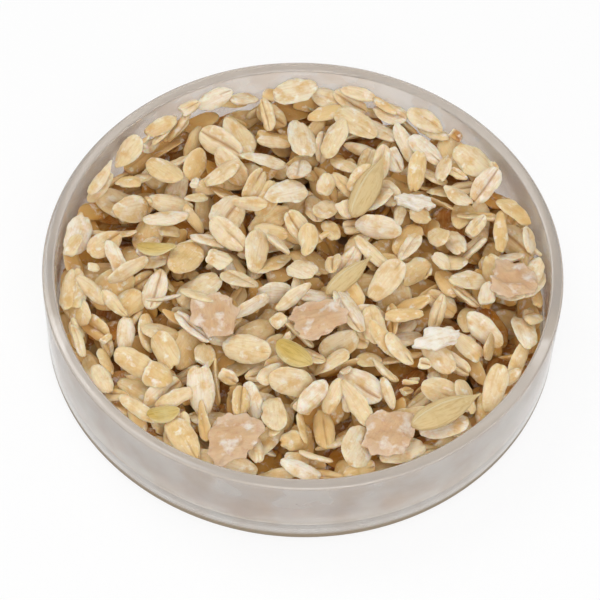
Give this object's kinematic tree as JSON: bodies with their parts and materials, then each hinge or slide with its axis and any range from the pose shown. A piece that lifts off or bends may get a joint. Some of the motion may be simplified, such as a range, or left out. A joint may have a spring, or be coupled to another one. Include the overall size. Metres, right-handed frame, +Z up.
{
  "type": "dish of rolled grain feed",
  "caption": "Shallow round clear dish filled with loose rolled grain flakes, with a few ragged bran flakes, husked grains and green husks on top.",
  "frame": {"origin": "centre of the dish on the surface it stands on", "axes": "+Z up along the axis of the dish, -Y towards the viewer of the picture, +X to the viewer's right"},
  "size_m": [0.1, 0.1, 0.0216],
  "materials": {
    "clear_glass": "gloss",
    "oat_flake": "matte",
    "bran": "matte",
    "straw_husk": "satin",
    "green_husk": "satin",
    "oat_flour": "matte"
  },
  "bodies": {
    "dish": {"clear_dish": "clear_glass"},
    "feed": {"flakes_course_01": "oat_flake", "flakes_course_02": "oat_flake", "flakes_course_03": "oat_flake", "flakes_course_04": "oat_flake", "flakes_course_05": "oat_flake", "flakes_course_06": "oat_flake", "flakes_course_07": "oat_flake", "flakes_course_08": "oat_flake", "flakes_course_09": "oat_flake", "flakes_course_10": "oat_flake", "flakes_course_11": "oat_flake", "flakes_course_12": "oat_flake", "flakes_course_13": "oat_flake", "flakes_course_14": "oat_flake", "flakes_course_15": "oat_flake", "flakes_course_16": "oat_flake", "flakes_course_17": "oat_flake", "flakes_course_18": "oat_flake", "flakes_course_19": "oat_flake", "flakes_course_20": "oat_flake", "split_flakes_low": "oat_flake", "split_flakes_middle": "oat_flake", "split_flakes_top": "oat_flake", "chips_low": "oat_flake", "chips_middle": "oat_flake", "chips_top": "oat_flake", "bran_flake_centre": "bran", "bran_flake_left": "bran", "bran_flake_right": "bran", "bran_flake_front_right": "bran", "bran_flake_front_left": "bran", "grain_in_husk_back": "straw_husk", "grain_in_husk_front": "straw_husk", "grain_in_husk_middle": "straw_husk", "green_husk_left": "green_husk", "green_husk_front": "green_husk", "green_husk_middle": "green_husk", "floury_flake_right": "oat_flour", "floury_flake_back": "oat_flour"}
  },
  "joints": [
    {"name": "feed_lift", "type": "slide", "parent": "dish", "child": "feed", "axis": [0, 0, 1], "range_m": [0, 0.02]}
  ]
}
